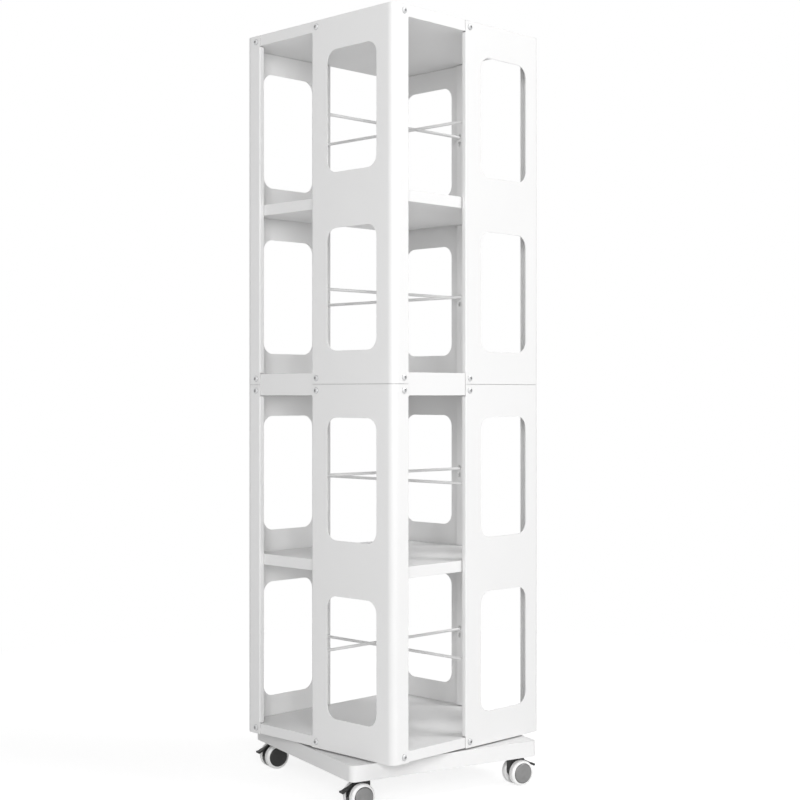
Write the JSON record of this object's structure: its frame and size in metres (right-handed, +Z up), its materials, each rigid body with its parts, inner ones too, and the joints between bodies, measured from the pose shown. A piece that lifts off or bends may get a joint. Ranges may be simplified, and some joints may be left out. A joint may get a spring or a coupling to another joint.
{
  "type": "revolving bookcase",
  "caption": "Square white steel tower bookcase with open book bays and windowed corner posts, turning on a ball bearing over a rolling base with braked casters.",
  "frame": {"origin": "on the floor, under the tower's turning axis", "axes": "+Z up along the turning axis; the tower's faces lie square to X and Y at rest"},
  "size_m": [0.4242, 0.4346, 1.2515],
  "materials": {
    "white_steel": "satin white powder coat",
    "zinc_screws": "bright zinc",
    "plain_steel": "bright steel",
    "black_plastic": "fine-grained black nylon",
    "white_wheel": "smooth white",
    "grey_cap": "satin dark grey"
  },
  "bodies": {
    "base": {"base_tray": "white_steel", "caster_sockets": "white_steel", "caster_stems": "plain_steel", "bearing_lower_race": "plain_steel", "bearing_balls": "plain_steel", "bearing_screws": "plain_steel"},
    "tower": {"top_tray": "white_steel", "top_liner": "white_steel", "upper_shelf": "white_steel", "upper_shelf_liner": "white_steel", "joint_tray": "white_steel", "joint_liner": "white_steel", "lower_shelf": "white_steel", "lower_shelf_liner": "white_steel", "bottom_tray": "white_steel", "upper_post_front_right": "white_steel", "upper_post_rear_right": "white_steel", "upper_post_rear_left": "white_steel", "upper_post_front_left": "white_steel", "lower_post_front_right": "white_steel", "lower_post_rear_right": "white_steel", "lower_post_rear_left": "white_steel", "lower_post_front_left": "white_steel", "bottom_tier_rods": "white_steel", "lower_tier_rods": "white_steel", "upper_tier_rods": "white_steel", "top_tier_rods": "white_steel", "upper_post_screws": "zinc_screws", "lower_post_screws": "zinc_screws", "bearing_upper_race": "plain_steel", "bearing_nuts": "plain_steel"},
    "front_right_caster": {"front_right_housing": "black_plastic", "front_right_axle": "plain_steel"},
    "front_right_outer_wheel": {"front_right_outer_wheel": "white_wheel", "front_right_outer_cap": "grey_cap"},
    "front_right_inner_wheel": {"front_right_inner_wheel": "white_wheel", "front_right_inner_cap": "black_plastic"},
    "front_right_brake": {"front_right_brake_lever": "black_plastic"},
    "rear_right_caster": {"rear_right_housing": "black_plastic", "rear_right_axle": "plain_steel"},
    "rear_right_outer_wheel": {"rear_right_outer_wheel": "white_wheel", "rear_right_outer_cap": "grey_cap"},
    "rear_right_inner_wheel": {"rear_right_inner_wheel": "white_wheel", "rear_right_inner_cap": "black_plastic"},
    "rear_right_brake": {"rear_right_brake_lever": "black_plastic"},
    "rear_left_caster": {"rear_left_housing": "black_plastic", "rear_left_axle": "plain_steel"},
    "rear_left_outer_wheel": {"rear_left_outer_wheel": "white_wheel", "rear_left_outer_cap": "grey_cap"},
    "rear_left_inner_wheel": {"rear_left_inner_wheel": "white_wheel", "rear_left_inner_cap": "black_plastic"},
    "rear_left_brake": {"rear_left_brake_lever": "black_plastic"},
    "front_left_caster": {"front_left_housing": "black_plastic", "front_left_axle": "plain_steel"},
    "front_left_outer_wheel": {"front_left_outer_wheel": "white_wheel", "front_left_outer_cap": "grey_cap"},
    "front_left_inner_wheel": {"front_left_inner_wheel": "white_wheel", "front_left_inner_cap": "black_plastic"},
    "front_left_brake": {"front_left_brake_lever": "black_plastic"}
  },
  "joints": [
    {"name": "tower_turn", "type": "hinge", "parent": "base", "child": "tower", "pos_m": [0, 0, 0.0735], "axis": [0, 0, 1], "continuous": true},
    {"name": "front_right_swivel", "type": "hinge", "parent": "base", "child": "front_right_caster", "pos_m": [0.11026, -0.17966, 0.0465], "axis": [0, 0, 1], "continuous": true},
    {"name": "front_right_outer_roll", "type": "hinge", "parent": "front_right_caster", "child": "front_right_outer_wheel", "pos_m": [0.10896, -0.18449, 0.021], "axis": [0.9659, -0.2588, 0], "continuous": true},
    {"name": "front_right_inner_roll", "type": "hinge", "parent": "front_right_caster", "child": "front_right_inner_wheel", "pos_m": [0.10896, -0.18449, 0.021], "axis": [0.9659, -0.2588, 0], "continuous": true},
    {"name": "front_right_brake_lift", "type": "hinge", "parent": "front_right_caster", "child": "front_right_brake", "pos_m": [0.10767, -0.18932, 0.042], "axis": [-0.9659, 0.2588, 0], "range_deg": [0, 18]},
    {"name": "rear_right_swivel", "type": "hinge", "parent": "base", "child": "rear_right_caster", "pos_m": [0.18532, 0.10046, 0.0465], "axis": [0, 0, 1], "continuous": true},
    {"name": "rear_right_outer_roll", "type": "hinge", "parent": "rear_right_caster", "child": "rear_right_outer_wheel", "pos_m": [0.18661, 0.10529, 0.021], "axis": [0.9659, -0.2588, 0], "continuous": true},
    {"name": "rear_right_inner_roll", "type": "hinge", "parent": "rear_right_caster", "child": "rear_right_inner_wheel", "pos_m": [0.18661, 0.10529, 0.021], "axis": [0.9659, -0.2588, 0], "continuous": true},
    {"name": "rear_right_brake_lift", "type": "hinge", "parent": "rear_right_caster", "child": "rear_right_brake", "pos_m": [0.1879, 0.11012, 0.042], "axis": [0.9659, -0.2588, 0], "range_deg": [0, 18]},
    {"name": "rear_left_swivel", "type": "hinge", "parent": "base", "child": "rear_left_caster", "pos_m": [-0.11026, 0.17966, 0.0465], "axis": [0, 0, 1], "continuous": true},
    {"name": "rear_left_outer_roll", "type": "hinge", "parent": "rear_left_caster", "child": "rear_left_outer_wheel", "pos_m": [-0.10896, 0.18449, 0.021], "axis": [0.9659, -0.2588, 0], "continuous": true},
    {"name": "rear_left_inner_roll", "type": "hinge", "parent": "rear_left_caster", "child": "rear_left_inner_wheel", "pos_m": [-0.10896, 0.18449, 0.021], "axis": [0.9659, -0.2588, 0], "continuous": true},
    {"name": "rear_left_brake_lift", "type": "hinge", "parent": "rear_left_caster", "child": "rear_left_brake", "pos_m": [-0.10767, 0.18932, 0.042], "axis": [0.9659, -0.2588, 0], "range_deg": [0, 18]},
    {"name": "front_left_swivel", "type": "hinge", "parent": "base", "child": "front_left_caster", "pos_m": [-0.18532, -0.10046, 0.0465], "axis": [0, 0, 1], "continuous": true},
    {"name": "front_left_outer_roll", "type": "hinge", "parent": "front_left_caster", "child": "front_left_outer_wheel", "pos_m": [-0.18661, -0.10529, 0.021], "axis": [0.9659, -0.2588, 0], "continuous": true},
    {"name": "front_left_inner_roll", "type": "hinge", "parent": "front_left_caster", "child": "front_left_inner_wheel", "pos_m": [-0.18661, -0.10529, 0.021], "axis": [0.9659, -0.2588, 0], "continuous": true},
    {"name": "front_left_brake_lift", "type": "hinge", "parent": "front_left_caster", "child": "front_left_brake", "pos_m": [-0.1879, -0.11012, 0.042], "axis": [-0.9659, 0.2588, 0], "range_deg": [0, 18]}
  ]
}
